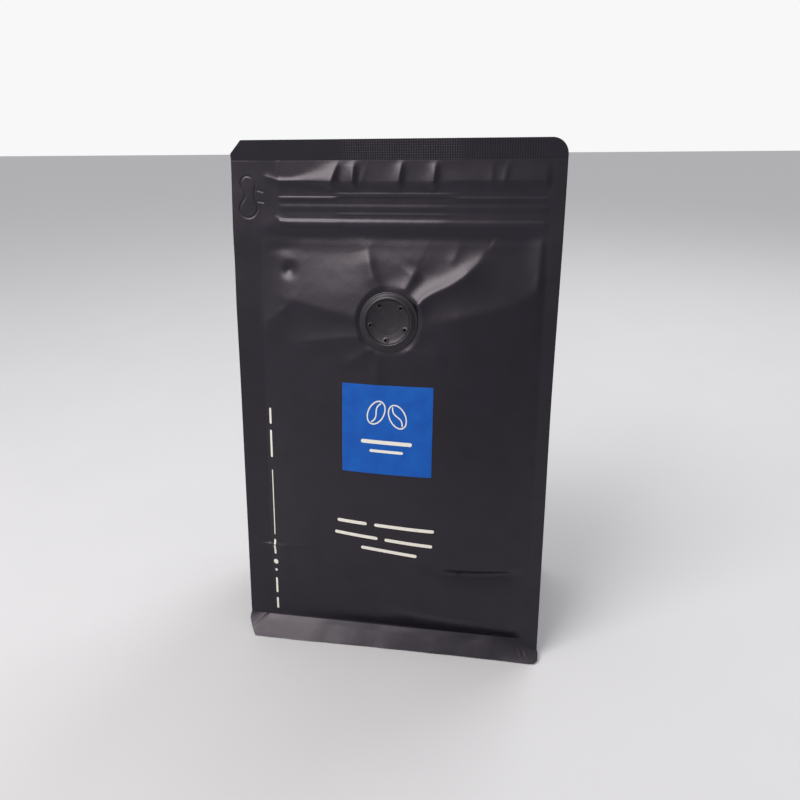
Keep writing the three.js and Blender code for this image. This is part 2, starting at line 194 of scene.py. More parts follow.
def crease(x, z, path, rise, left, right, ends=(0.0, 0.0), crest=0.9):
    """Fold of the film along a path. Its section is a tent with a rounded crest that dies out
    over the left and the right width; its height goes from ends[0] to 1 and on to ends[1]."""
    distance, side, share = along_path(x, z, path)
    width = np.where(side >= 0.0, left[0] + (left[1] - left[0]) * share,
                     right[0] + (right[1] - right[0]) * share)
    tent = np.exp(-(np.hypot(distance, crest) - crest) / width)
    height = np.interp(share, [0.0, 0.3, 0.7, 1.0], [ends[0], 1.0, 1.0, ends[1]])
    return rise * tent * height


def folded(x, z, folds):
    """Sum of several creases."""
    return sum(crease(x, z, **fold) for fold in folds)


def hollow(x, z, middle, radii, turn=0.0):
    """1 at the middle of a round or long dent, falling off as a bell curve of the distance in
    radii."""
    c, s = math.cos(math.radians(turn)), math.sin(math.radians(turn))
    along = ((x - middle[0]) * c + (z - middle[1]) * s) / radii[0]
    across = ((z - middle[1]) * c - (x - middle[0]) * s) / radii[1]
    return np.exp(-(along ** 2 + across ** 2))


def ledge(x, z, path, slope, fall, width):
    """Overhang of the film along a path: level on its left, falling away evenly on its right
    over the fall (at the path's start, middle and end) and coming back over the width; both
    ends fade out."""
    distance, side, share = along_path(x, z, path)
    under = np.where(side < 0.0, np.hypot(distance, 0.4) - 0.4, 0.0)
    ends = smooth(0.0, 0.4, share) * (1.0 - smooth(0.7, 1.0, share))
    reach = np.interp(share, [0.0, 0.5, 1.0], fall)
    beyond = np.maximum(under - reach, 0.0)
    return -slope * ends * np.minimum(under, reach) * np.exp(-beyond / width)


# Roll of slack film along the fold, at the right: how far it stands out, the height of its
# crest, how far that drops on the way right, and how round crest and foot are
ROLL_RISE = 2.2
ROLL_CREST = 20.8
ROLL_DROP = 7.4
ROLL_DROP_FROM = 14.0
ROLL_DROP_OVER = 42.0
ROLL_ROUND = 1.6
ROLL_FADE = 12.0


def foot_roll(x, z):
    """The roll swells out to its crest, whose height drops towards the right as a parabola, and
    falls back from there to the fold, evenly at the right and steeper under the crest at the
    left. Over the crest it fades out exponentially."""
    crest = ROLL_CREST - ROLL_DROP * (np.maximum(x - ROLL_DROP_FROM, 0.0) / ROLL_DROP_OVER) ** 2
    below = np.clip(crest - z, 0.0, crest - FOLD_HEIGHT)
    most = np.hypot(crest - FOLD_HEIGHT, ROLL_ROUND) - ROLL_ROUND
    fall = (np.hypot(below, ROLL_ROUND) - ROLL_ROUND) / most
    steeper = 1.35 - 0.35 * smooth(30.0, 50.0, x)
    above = np.hypot(np.maximum(z - crest, 0.0), 2.0) - 2.0
    ends = smooth(-6.0, 16.0, x) * (1.0 - smooth(50.0, 60.0, x))
    return ROLL_RISE * ends * (1.0 - fall) ** steeper * np.exp(-above / ROLL_FADE)


def step_up(z, at, width, rise):
    """Step outwards as the film runs down past a height, smooth over the width."""
    return rise * (1.0 - smooth(at - width / 2, at + width / 2, z))


# Folds of the slack film round the valve, each along a path of places (x, z). Left and right
# are seen along the path; a width is given at the path's start and at its end.
FOLDS = [
    dict(path=[(11.5, 148.4), (14, 151.2), (18.2, 153.7), (22.3, 155.5), (26.5, 157.9),
               (30.7, 161), (34, 164), (36.4, 167.6)],
         rise=2.0, left=(2.4, 2.8), right=(2.5, 8.0), ends=(0.9, 0.2)),
    dict(path=[(13.5, 140.8), (24, 142.8), (36, 145.6), (49, 149), (58, 155)],
         rise=1.4, left=(4.0, 5.0), right=(10.0, 14.0), ends=(0.3, 0.8), crest=2.0),
    dict(path=[(-9.6, 168.4), (-8.4, 163), (-6.6, 158), (-4.2, 154)],
         rise=1.0, left=(2.2, 2.2), right=(4.5, 5.0), ends=(0.4, 0.6)),
    dict(path=[(10.4, 161.5), (8.2, 157.5), (6.0, 154.2)],
         rise=1.1, left=(2.0, 2.4), right=(3.5, 4.5), ends=(0.2, 0.9)),
    dict(path=[(-50, 151), (-38, 148.2), (-25, 145.4), (-12.4, 143.0)],
         rise=1.1, left=(7.0, 12.0), right=(2.8, 3.0), ends=(0.0, 0.8)),
    dict(path=[(-55.5, 136), (-48, 141.2), (-40, 148)],
         rise=1.0, left=(3.5, 3.5), right=(2.2, 2.2), ends=(0.1, 0.2)),
    dict(path=[(-42, 131.5), (-30, 133.2), (-20, 134.8), (-11.6, 135.6)],
         rise=0.8, left=(3.0, 3.0), right=(2.4, 2.6), ends=(0.0, 1.0)),
    dict(path=[(-18.5, 123.6), (-12.5, 127.6), (-7, 131)],
         rise=0.6, left=(2.4, 2.4), right=(1.8, 1.8), ends=(0.0, 0.9)),
    dict(path=[(7, 131.4), (14, 129.2), (24, 126.4)],
         rise=0.6, left=(2.6, 3.5), right=(2.6, 3.0), ends=(0.9, 0.0)),
    dict(path=[(-3.5, 129.5), (-4.5, 122), (-5, 112)],
         rise=0.3, left=(2.4, 3.0), right=(2.4, 3.0), ends=(0.9, 0.0)),
    dict(path=[(26, 169), (24.6, 165.5), (22.3, 163)],
         rise=0.3, left=(1.8, 1.8), right=(2.4, 2.4), ends=(0.7, 0.1)),
    dict(path=[(57.6, 174), (58.2, 162), (57.6, 152)],
         rise=0.5, left=(1.2, 1.2), right=(1.6, 1.6), ends=(0.1, 0.1)),
]

# Sharper folds at the left seam: one across it that runs on as a softer one, two at the ends of
# the strip's upper and lower edge, and one under the seal
SEAM_FOLDS = [
    dict(path=[(-58.5, 41.6), (-51, 42.1), (-43, 42.9)],
         rise=1.0, left=(0.7, 0.7), right=(3.0, 3.0), ends=(0.3, 0.1), crest=0.25),
    dict(path=[(-48, 42.9), (-40, 44.1), (-31, 45.0)],
         rise=0.75, left=(3.0, 3.0), right=(0.65, 0.65), ends=(0.1, 0.1), crest=0.25),
    dict(path=[(-52.0, 195.4), (-48.6, 194.3), (-45.4, 193.2)],
         rise=0.28, left=(0.5, 0.7), right=(0.9, 0.9), ends=(0.0, 1.0), crest=0.5),
    dict(path=[(-47.6, 180.1), (-45.4, 179.0), (-43.4, 178.5)],
         rise=0.22, left=(0.5, 0.5), right=(0.8, 0.8), ends=(0.0, 0.5), crest=0.5),
    dict(path=[(-45.9, 200.4), (-46.0, 195.0)],
         rise=0.1, left=(0.5, 0.5), right=(0.5, 0.5), ends=(0.6, 0.6), crest=0.4),
]

# Round dents and low swellings of the front: (rise, middle, radii)
HOLLOWS = [
    # deep left corner of the slack hollow under the strip
    (-0.35, (-43.8, 168.2), (5.5, 2.4)),
    # pinched dimple: a pit whose lower wall faces up, under a low raised brow
    (-1.0, (-41.4, 159.8), (2.6, 2.4)),
    (0.12, (-41.4, 163.4), (2.8, 1.3)),
    # quiet zone between the folds over the valve
    (0.35, (9.0, 166.0), (13.0, 5.5)),
    (-0.75, (8.0, 156.0), (13.0, 6.0)),
    (0.2, (-44.0, 168.0), (9.0, 6.0)),
]

# Low on the front, at the right: a slanting wedge, and two dents the size of a pinprick
WEDGE = dict(path=[(11, 44.4), (62, 40.2)], slope=0.8, fall=(3.4, 3.4, 1.6), width=8.0)
PINPRICKS = [((53.2, 32.5), (0.9, 1.4)), ((52.4, 28.0), (0.8, 1.2))]
# The free left fin, bowed forward round the tab
BOWED_FIN = ((-63.0, 180.0), (8.0, 12.0))

# Ribs of the strip from the top down. Each stands out between an upper and a lower edge, given
# as (height, width of the edge, step), in the middle of the bag, on either side of it or both.
RIBS = [
    ((188.9, 0.7, 0.12), (187.2, 0.7, 0.12), "middle"),
    ((187.5, 0.5, 0.18), (186.2, 1.6, 0.18), "sides"),
    ((184.4, 1.3, 0.15), (182.6, 2.0, 0.13), "both"),
    ((181.5, 0.8, 0.06), (180.6, 0.8, 0.06), "middle"),
]


def strip_relief(x, z, ridge, headspace):
    """Press-to-close strip between its two ends: thin ribs over one ridge, the headspace that
    hangs over it, and a soft recess under it that fades towards both seams."""
    left_end = STRIP_LEFT - 0.5 * np.clip(z - 193.0, 0.0, 1.0)
    within = smooth(left_end - 1.2, left_end + 1.2, x) * (1.0 - smooth(*STRIP_RIGHT, x))
    sides = 1.0 - smooth(-24.0, -20.0, x) * (1.0 - smooth(21.0, 27.0, x))
    fade = 1.0 - 0.4 * smooth(18.0, 24.0, x)
    share = {"middle": fade * (1.0 - sides), "sides": fade * sides, "both": fade}
    steps = np.zeros(x.shape)
    for (upper, upper_width, up), (lower, lower_width, down), where in RIBS:
        steps += (step_up(z, upper, upper_width, up * share[where])
                  - step_up(z, lower, lower_width, down * share[where]))
    steps += step_up(z, 178.8, 1.3, ridge) - step_up(z, 175.0, 6.0, ridge)
    recess = (step_up(z, 161.0, 20.0, 0.92) + step_up(z, 170.6, 2.0, 0.08)
              - step_up(z, 174.6, 6.4, 1.0))
    recess *= smooth(-57.0, -42.0, x) * (1.0 - smooth(50.0, 61.0, x))
    return within * (steps + headspace * smooth(188.8, 193.5, z)) + recess


# Puckers of the headspace: place, rise, width on either side and lean to the right going up
PUCKERS = [
    dict(x=-22.6, rise=1.0, left=3.4, right=0.7, lean=0.3),
    dict(x=-15.3, rise=1.25, left=3.0, right=0.8, lean=0.05),
    dict(x=3.1, rise=1.1, left=2.0, right=0.7, lean=0.15),
    dict(x=16.3, rise=1.1, left=2.2, right=0.8, lean=0.1),
    dict(x=37.7, rise=0.22, left=2.0, right=0.8, lean=0.0),
    dict(x=43.0, rise=0.25, left=1.8, right=0.8, lean=0.2),
    dict(x=-11.0, rise=0.15, left=1.0, right=1.0, lean=0.3),
]
PUCKER_HEIGHT = 197.0


def headspace_swell(x, z):
    """How far the headspace swells out over the strip: a low even swell that ends at the seal, a
    lip along its foot at the left, shaped as a bell curve, and leaning puckers that fall away
    exponentially, more steeply on their right side."""
    from_foot = np.clip((z - HEADSPACE_FOOT) / (SEAL_BOTTOM - HEADSPACE_FOOT), 0.0, 1.0)
    over_foot = z > HEADSPACE_FOOT
    open_end = smooth(-42.0, -24.0, x)
    lip = 1.0 - smooth(-25.0, -20.0, x) + 0.25 * smooth(18.0, 26.0, x)
    lip = (0.35 + 0.45 * open_end) * lip
    reach = np.where(over_foot, 0.9 + 2.6 * open_end, 1.3)
    bell = np.exp(-((z - HEADSPACE_FOOT) / reach) ** 2)
    swell = 0.3 * (1.0 - from_foot) + lip * bell * np.where(over_foot, 1.0, 0.7)
    puckers = np.zeros(x.shape)
    for pucker in PUCKERS:
        off = x - pucker["x"] - pucker["lean"] * (z - PUCKER_HEIGHT)
        width = np.where(off < 0, pucker["left"], pucker["right"])
        puckers = puckers + pucker["rise"] * np.exp(-(np.hypot(off, 0.4) - 0.4) / width)
    return swell + puckers * (1.0 - from_foot ** 2) * (1.0 - 0.25 * smooth(198.5, 200.6, z))


def between_seams(x, right_from, right_to):
    """1 between the corner seams, falling to 0 over the left one and, at the right one, between
    two places given from its root."""
    left = smooth(LEFT_ROOT - 2, LEFT_ROOT + 3, x)
    return left * (1 - smooth(RIGHT_ROOT + right_from, RIGHT_ROOT + right_to, x))


def front_relief(x, z):
    """Relief of the front film over its smooth form, as a sum: the folds, with the dents, end
    at the valve, the strip and the seams; then come the wedge, the roll and the pinpricks
    between the seams, the folds at the left seam, the film's rise to the valve's edge, and the
    strip."""
    from_valve = np.hypot(x - VALVE_X, z - VALVE_HEIGHT)
    clear = smooth(VALVE_RADIUS - 0.1, VALVE_RADIUS + 1.6, from_valve)
    folds = folded(x, z, FOLDS)
    under_strip = 0.15 * np.exp(-((z - 168.0) / 3.4) ** 2)
    folds -= under_strip * smooth(-50, -40, x) * (1 - smooth(52, 58, x))
    for rise, middle, radii in HOLLOWS:
        folds += rise * hollow(x, z, middle, radii)
    folds = folds * clear * (1 - smooth(*UNDER_STRIP, z))
    dents = ledge(x, z, **WEDGE) + foot_roll(x, z)
    dents -= 0.25 * sum(hollow(x, z, *dent) for dent in PINPRICKS)
    edge = folded(x, z, SEAM_FOLDS) + 0.9 * hollow(x, z, *BOWED_FIN)
    # up to the valve's edge all round, and well back under its disc
    drawn = 0.25 * np.exp(-np.maximum(from_valve - VALVE_RADIUS, 0.0) / 2.4)
    drawn -= 1.5 * (1.0 - smooth(VALVE_RADIUS - 4.5, VALVE_RADIUS - 0.5, from_valve))
    ridge = 0.3 + 0.14 * (1.0 - smooth(-24.0, -18.0, x)) - 0.15 * smooth(18.0, 24.0, x)
    strip = strip_relief(x, z, ridge, headspace_swell(x, z))
    return (folds + dents) * between_seams(x, -2.5, 0.5) + edge + drawn + strip


def panel_depth(x, z, eased=1.0):
    """Distance of the smooth front, or of the back with eased 0, from the mid plane: the seams'
    distance and the belly."""
    return seam_depth(z) + belly(x, z, eased)


def grid_faces(columns, rows, first, flip):
    """Quads of a grid of points stored row by row."""
    a = (np.arange(rows)[:, None] * (columns + 1) + np.arange(columns)[None, :]).ravel() + first
    quads = np.stack([a, a + 1, a + columns + 2, a + columns + 1], 1)
    return quads[:, ::-1] if flip else quads


def rim_faces(fine, coarse, share):
    """Triangles that close the gap between a fine border and a coarse one below it: the first
    half of each share of fine edges meets the coarse edge's start, the rest its end."""
    count = len(coarse) - 1
    half = share // 2
    blocks = fine[:-1].reshape(count, share)
    ends = fine[1:].reshape(count, share)
    near = np.repeat(coarse[:-1, None], half, 1)
    far = np.repeat(coarse[1:, None], share - half, 1)
    first = np.stack([ends[:, :half], blocks[:, :half], near], -1).reshape(-1, 3)
    second = np.stack([ends[:, half:], blocks[:, half:], far], -1).reshape(-1, 3)
    middle = np.stack([blocks[:, half], coarse[:-1], coarse[1:]], -1)
    return np.concatenate([first, second, middle])


def sheet(place, columns, rows, share=4, flip=False):
    """Thin closed sheet. place(u, v, inside) gives points in millimetres for arrays of u and v
    from 0 to 1; the outer face is fine, and the inner one has one cell for share cells each way."""
    def face(n, m, inside):
        """Points of one face, as a grid of n by m cells."""
        u, v = np.meshgrid(np.linspace(0, 1, n + 1), np.linspace(0, 1, m + 1))
        return np.stack(np.broadcast_arrays(*place(u, v, inside)), -1).reshape(-1, 3)

    inner_columns, inner_rows = columns // share, rows // share
    points = np.concatenate([face(columns, rows, False), face(inner_columns, inner_rows, True)])
    base = (columns + 1) * (rows + 1)
    outer = np.arange(base).reshape(rows + 1, columns + 1)
    inner = np.arange(len(points) - base).reshape(inner_rows + 1, inner_columns + 1) + base
    borders = [(outer[0], inner[0]), (outer[:, -1], inner[:, -1]),
               (outer[-1, ::-1], inner[-1, ::-1]), (outer[::-1, 0], inner[::-1, 0])]
    rim = np.concatenate([rim_faces(fine, coarse, share) for fine, coarse in borders])
    faces = [grid_faces(columns, rows, 0, False),
             grid_faces(inner_columns, inner_rows, base, True), rim]
    return points, [group[:, ::-1] for group in faces] if flip else faces


def joined(name, parts):
    """One mesh from several closed shells."""
    points, faces, first = [], [], 0
    for part_points, part_faces in parts:
        points.append(part_points)
        faces += [group + first for group in part_faces]
        first += len(part_points)
    return write_mesh(name, np.concatenate(points), faces)


def closed_sheet(name, *settings):
    """One mesh from one sheet with the given settings."""
    return joined(name, [sheet(*settings)])


def write_mesh(name, points, face_groups, sharp_degrees=50.0):
    """Object at the origin with its place in its mesh, smooth shaded but for sharp edges."""
    loops = np.concatenate([group.ravel() for group in face_groups])
    sizes = np.concatenate([np.full(len(group), group.shape[1]) for group in face_groups])
    starts = np.concatenate([[0], np.cumsum(sizes)[:-1]])
    mesh = bpy.data.meshes.new(name)
    mesh.vertices.add(len(points))
    mesh.vertices.foreach_set("co", (points * MM).astype(np.float32).ravel())
    mesh.loops.add(len(loops))
    mesh.loops.foreach_set("vertex_index", loops.astype(np.int32))
    mesh.polygons.add(len(sizes))
    mesh.polygons.foreach_set("loop_start", starts.astype(np.int32))
    mesh.update(calc_edges=True)
    mesh.validate()
    mesh.polygons.foreach_set("use_smooth", np.ones(len(mesh.polygons), bool))
    mesh.set_sharp_from_angle(angle=math.radians(sharp_degrees))
    piece = bpy.data.objects.new(name, mesh)
    bpy.context.scene.collection.objects.link(piece)
    return piece


def spread(*stops):
    """Map from 0..1 to places so that each stretch (end place, cells) gets its own spacing."""
    places, cells = [stops[0]], [0]
    for end, count in stops[1:]:
        places.append(end)
        cells.append(cells[-1] + count)
    shares = np.array(cells) / cells[-1]
    return (lambda t: np.interp(t, shares, places)), cells[-1]


# Rows and columns of the panels: columns are finest over the pull tab, rows over the crease low
# at the left and the strip. A row's place is its height over the fold, up to just under the
# seal's foot; places below zero are the way down the skirt.
SKIRT_REACH = HEM_HALF_DEPTH - float(seam_depth(FOLD_HEIGHT))
SKIRT_LENGTH = math.hypot(FOLD_HEIGHT - HEM_HEIGHT, SKIRT_REACH)
front_x, FRONT_COLUMNS = spread(-1.0, (-0.955, 8), (-0.76, 48), (1.0, 184))
front_run, FRONT_ROWS = spread(-SKIRT_LENGTH, (-1.0, 16), (3.0, 12), (33.0, 32), (38.0, 16),
                               (156.0, 140), (170.0, 24), (193.3, 96))

# Skirt: chamfer across and up at the left, radius at the right, and the mitre line near the
# left end, as its place at the fold and how far it runs out down to the hem
CHAMFER = (4.0, 6.0)
CORNER_ROUND = 3.5
MITRE_X = -55.7
MITRE_SLANT = 9.0


def fold_height(x):
    """Height of the bottom fold: level, running down towards the right corner."""
    return FOLD_HEIGHT - FOLD_DROP * smooth(44.0, 66.0, x)


def skirt_width(across, down):
    """Half width of the skirt on either side at a share of the way down: the left corner is cut
    off by a straight chamfer, the right one is rounded as a quarter circle."""
    from_hem = down * SKIRT_LENGTH - SKIRT_LENGTH
    left = CHAMFER[0] * np.clip((from_hem + CHAMFER[1]) / CHAMFER[1], 0.0, 1.0)
    reach = np.clip((from_hem + CORNER_ROUND) / CORNER_ROUND, 0.0, 0.999)
    right = CORNER_ROUND * (1.0 - np.sqrt(1.0 - reach ** 2))
    return SKIRT_HALF_WIDTH - np.where(across < 0.0, left, right)


def skirt_relief(x, down):
    """Three slight waves of the welded skirt, a patch of fine crinkles near its right end, and
    beyond the mitre line the left end, which falls back with a narrow groove along the line."""
    wave = (0.04 * np.sin(x / 3.1 + 1.3 * down) + 0.02 * np.sin(x / 1.7 + 2.0)
            + 0.08 * np.sin(x / 9.3 + 0.6))
    mitre = MITRE_X - MITRE_SLANT * down
    corner = np.clip((mitre - x) / 7.0, 0.0, 1.0) * (0.6 + 1.2 * np.sin(np.pi * down))
    corner += 0.4 * np.exp(-((x - mitre) / 0.5) ** 2)
    patch = np.exp(-((x - 58.0) / 3.5) ** 2 - ((down - 0.35) / 0.3) ** 2)
    crinkle = 0.12 * np.sin(2.3 * x - 8.0 * down) * patch
    return (wave + crinkle) * smooth(0.0, 0.3, down) - corner


# Pull tab: its two circles as (x, z, radius), its waist as (x, half width), two guide lines
TAB_UPPER = (-58.5, 192.4, 2.75)
TAB_LOWER = (-58.2, 182.9, 3.45)
TAB_WAIST = (-57.6, 1.9)
TAB_WAIST_REACH = 4.0
TAB_BLEND = 2.2
TAB_GUIDES = [[(-54.5, 189.9), (-52.3, 189.3)], [(-54.4, 185.7), (-52.0, 185.3)]]
GROOVE_WIDTH = 0.27
GROOVE_DEPTH = 0.21


def blended(first, second, blend):
    """Smooth lower of two distances: where they differ by less than the blend, a mean of both
    that lies under them by a parabola."""
    mix = np.clip(0.5 + 0.5 * (second - first) / blend, 0.0, 1.0)
    return second + (first - second) * mix - blend * mix * (1.0 - mix)


def tab_groove(x, z):
    """Pressed outline of the pull tab: two circles joined by a waist, and two guide lines. A
    groove's section is a bell curve of the distance to its line."""
    upper = np.hypot(x - TAB_UPPER[0], z - TAB_UPPER[1]) - TAB_UPPER[2]
    lower = np.hypot(x - TAB_LOWER[0], z - TAB_LOWER[1]) - TAB_LOWER[2]
    up = np.abs(z - (TAB_UPPER[1] + TAB_LOWER[1]) / 2)
    waist = np.maximum(np.abs(x - TAB_WAIST[0]) - TAB_WAIST[1], up - TAB_WAIST_REACH)
    outline = blended(blended(upper, waist, TAB_BLEND), lower, TAB_BLEND)
    groove = np.exp(-(outline / GROOVE_WIDTH) ** 2)
    for guide in TAB_GUIDES:
        distance, _, _ = along_path(x, z, guide)
        groove = np.maximum(groove, np.exp(-(distance / GROOVE_WIDTH) ** 2))
    return groove


def panel_form(across, run, turned):
    """Smooth panel from the hem over the fold to the seal: the skirt's plane below the fold and
    the belly's form above it. turned is -1 where the skirt's left and right change places."""
    down = np.clip(-run / SKIRT_LENGTH, 0.0, 1.0)
    low = fold_height(turned * across * HALF_WIDTH)
    above = np.maximum(run, 0.0)
    z = np.where(above < FOLD_BLEND, low + above * (FOLD_BLEND + FOLD_HEIGHT - low) / FOLD_BLEND,
                 FOLD_HEIGHT + above)
    wider = (skirt_width(turned * across, down) - half_width(FOLD_HEIGHT)) * smooth(0.0, 0.2, down)
    x = across * (half_width(z) + wider)
    depth = panel_depth(x, z, max(turned, 0))
    hem = HEM_HALF_DEPTH + HEM_FLARE * (1.0 - smooth(-45.0, 15.0, turned * x))
    depth = depth + (hem - depth) * down
    depth = depth + np.where(run < 0.0, skirt_relief(turned * x, down), 0.0)
    return x, z, depth, np.where(run < 0.0, low + (HEM_HEIGHT - low) * down, z)


# Room between a panel's outer and inner face in the middle, and the width of the seams left out
INNER_ROOM = 2.6
INNER_BORDER = 5.0


def inner_gap(across, run, z):
    """How far the sheet's inner face lies behind its outer one: the film's thickness at the
    seams, and more in the middle, where the relief needs room."""
    from_side = (1.0 - np.abs(across)) * HALF_WIDTH
    border = smooth(0.0, 8.0, from_side - INNER_BORDER) * smooth(2.0, 12.0, run)
    return FILM + INNER_ROOM * border * smooth(1.0, 7.0, seam_depth(z))


def panel_place(turned, columns, relief):
    """Front panel (turned 1) or back panel (-1, towards +Y and its skirt turned end for end):
    the smooth form, with its relief above the fold. columns(u) gives the place across."""
    def place(u, v, inside):
        """The inner face keeps the smooth form, behind the outer one by the gap."""
        across, run = columns(u), front_run(v)
        x, z, depth, height = panel_form(across, run, turned)
        if inside:
            depth = depth - inner_gap(across, run, z)
        else:
            depth = depth + smooth(0.0, 3.0, run) * relief(x, z)
        return x, -turned * depth, height
    return place


def tabbed_relief(x, z):
    """Relief of the front film with the pull tab's grooves pressed in."""
    return front_relief(x, z) - GROOVE_DEPTH * tab_groove(x, z)


BACK_FOLDS = [
    dict(path=[(-41, 169), (-27, 159), (-12, 152)],
         rise=0.8, left=(5.0, 9.0), right=(3.0, 5.0), ends=(0.3, 0.1), crest=3.2),
    dict(path=[(46, 168), (34, 157), (18, 150), (2, 147)],
         rise=0.9, left=(3.0, 5.0), right=(7.0, 12.0), ends=(0.3, 0.1), crest=3.6),
    dict(path=[(-53, 128), (-46, 112), (-43, 92)],
         rise=0.6, left=(4.0, 7.0), right=(6.0, 9.0), ends=(0.2, 0.1), crest=2.2),
    dict(path=[(53, 134), (47, 118), (45, 100)],
         rise=0.5, left=(6.0, 8.0), right=(4.0, 6.0), ends=(0.2, 0.1), crest=2.2),
    dict(path=[(-34, 38), (-12, 34), (12, 35.5)],
         rise=0.5, left=(6.0, 8.0), right=(3.0, 4.0), ends=(0.1, 0.1), crest=1.6),
]


def back_relief(x, z):
    """Relief of the back film, as a sum: a few soft creases and a dent between the seams, and
    the strip that shows through."""
    folds = folded(x, z, BACK_FOLDS)
    folds -= 0.8 * hollow(x, z, (26.0, 26.0), (20.0, 8.0), -6.0)
    folds *= between_seams(x, -0.5, 1)
    to_seal = SEAL_BOTTOM - np.clip(z, HEADSPACE_FOOT, SEAL_BOTTOM)
    even = 0.5 * to_seal / (SEAL_BOTTOM - HEADSPACE_FOOT)
    return folds * (1 - smooth(*UNDER_STRIP, z)) + strip_relief(x, z, 0.4, even)


# Side gussets: foot and rise of the sheet, half the film's length across, how much of the
# middle crease's full depth it has at the bottom and from where all of it, and the fins' share
GUSSET_FOOT = 1.2
GUSSET_RISE = SEAL_BOTTOM - 1.0
GUSSET_CLEARANCE = 0.04
HALF_LENGTH = float(seam_depth(FOLD_HEIGHT)) - 0.8
CREASE_SHARE_LOW = 0.62
CREASE_FULL_AT = 160.0
CREASE_ROOM = 0.85
FIN_SHARE = 0.2


def gusset_place(root, side):
    """Gusset from the front fin's tip to its root, round the middle crease and out to the back
    fin's tip. Each half bows outwards by the length that the inward fold doesn't use up."""
    def place(u, v, inside):
        """The half is a straight chord from the fin's root to the crease plus a parabola."""
        z = GUSSET_FOOT + GUSSET_RISE * v
        low = smooth(FOLD_HEIGHT + 6.0, FOLD_HEIGHT - 2.0, z)
        gap = seam_depth(np.maximum(z, FOLD_HEIGHT)) - 2 * FILM - GUSSET_CLEARANCE
        full = np.sqrt(np.maximum(HALF_LENGTH ** 2 - gap ** 2, 0.0))
        depth = full * (CREASE_SHARE_LOW + (1 - CREASE_SHARE_LOW) * smooth(0, CREASE_FULL_AT, z))
        depth = depth * (1.0 - low)
        chord = np.hypot(gap, depth)
        slack = np.sqrt(np.maximum(3 / 8 * chord * (HALF_LENGTH - chord), 0.0))
        bow = np.minimum(slack, CREASE_ROOM * gap * chord / (4 * np.maximum(depth, 0.01)))
        half = np.abs(2.0 * u - 1.0)
        on_fin = np.clip((half - (1 - FIN_SHARE)) / FIN_SHARE, 0.0, 1.0)
        t = 1.0 - np.clip(half / (1 - FIN_SHARE), 0.0, 1.0)
        out = 4 * bow * t * (1 - t)
        tip = (half_width(z) - abs(root)) * (1.0 - low * 0.9)
        x = root + side * (on_fin * tip - depth * t + out * gap / chord)
        y = gap * (1 - t) - out * depth / chord
        if inside:
            flat = smooth(0.0, 0.2, on_fin)
            y = y + FILM * (depth / chord * (1 - flat) + flat)
            x = x - side * FILM * gap / chord * (1 - flat)
        return x, np.where(u < 0.5, -y, y), z
    return place


BASE_INSET = 0.4
BASE_ROUND = 3.0


def base_place(u, v, inside):
    """Flat bottom whose edges turn up as quarter rounds to the two folds and the two sides."""
    fold_depth = float(seam_depth(FOLD_HEIGHT)) - BASE_INSET
    x = (LEFT_ROOT + BASE_INSET) * (1 - u) + (RIGHT_ROOT - BASE_INSET) * u
    y = fold_depth * (1 - 2 * v)
    long_rise = np.clip(np.abs(y) - (fold_depth - FOLD_HEIGHT), 0.0, FOLD_HEIGHT - 1e-6)
    near = np.minimum(x - LEFT_ROOT - BASE_INSET, RIGHT_ROOT - BASE_INSET - x)
    side_rise = np.clip(BASE_ROUND - near, 0.0, BASE_ROUND - 1e-6)
    z_long = FOLD_HEIGHT - np.sqrt(FOLD_HEIGHT ** 2 - long_rise ** 2)
    z_side = BASE_ROUND - np.sqrt(BASE_ROUND ** 2 - side_rise ** 2)
    z = np.maximum(z_long, z_side)
    if inside:
        middle = (LEFT_ROOT + RIGHT_ROOT) / 2
        x = middle + (x - middle) * (1 - FILM / RIGHT_ROOT)
        return x, y * (1 - FILM / fold_depth), z + FILM
    return x, y, z


# Top seal: size of a cell, pitch and depth of the pressed pattern, chamfer across and down at
# the left, radius at the right, how far it reaches below its foot, and the plane of its back
SEAL_CELL = 0.19
SEAL_COLUMNS = int(2 * HALF_WIDTH / SEAL_CELL) // 4 * 4
SEAL_ROWS = 40
KNURL_PITCH = 0.92
KNURL_DEPTH = 0.26
SEAL_CHAMFER = (4.6, 5.0)
SEAL_ROUND = 6.0
SEAL_LAP = 0.4
SEAL_INNER = 0.02


def seal_outline(x):
    """Height of the seal's top edge: chamfered at the left, a quarter circle at the right."""
    cut = np.clip((x + HALF_WIDTH - SEAL_CHAMFER[0]) / -SEAL_CHAMFER[0], 0.0, 1.0)
    reach = np.clip((x - (HALF_WIDTH - SEAL_ROUND)) / SEAL_ROUND, 0.0, 1.0)
    rounded = SEAL_ROUND * (1.0 - np.sqrt(1.0 - np.minimum(reach, 0.999) ** 2))
    return HEIGHT - SEAL_CHAMFER[1] * cut - rounded


def seal_place(facing):
    """One face of the pressed seal with its cross-hatched pattern."""
    def place(u, v, inside):
        """Flat but for two cosine waves: upright ribs, and level ones only in the middle."""
        x = HALF_WIDTH * (2.0 * u - 1.0) * facing
        z = SEAL_BOTTOM - SEAL_LAP + (seal_outline(x) - SEAL_BOTTOM + SEAL_LAP) * v
        if inside:
            return x, -facing * SEAL_INNER, z
        edge = smooth(0.2, 0.7, v * 8.0) * smooth(0.0, 0.5, (1 - v) * 8.0)
        upright = 0.5 + 0.5 * np.cos(2 * np.pi * x / KNURL_PITCH)
        level = 0.5 + 0.5 * np.cos(2 * np.pi * z / KNURL_PITCH)
        ribbed = smooth(-24.0, -16.0, x) * (1 - smooth(54.0, 60.0, x))
        crossed = smooth(-24.0, -16.0, x) * (1 - smooth(24.0, 32.0, x))
        relief = 0.6 * ribbed * (0.5 - upright) + 0.5 * crossed * (0.5 - level)
        return x, -facing * (SEAL_HALF_THICKNESS + KNURL_DEPTH * edge * relief), z
    return place


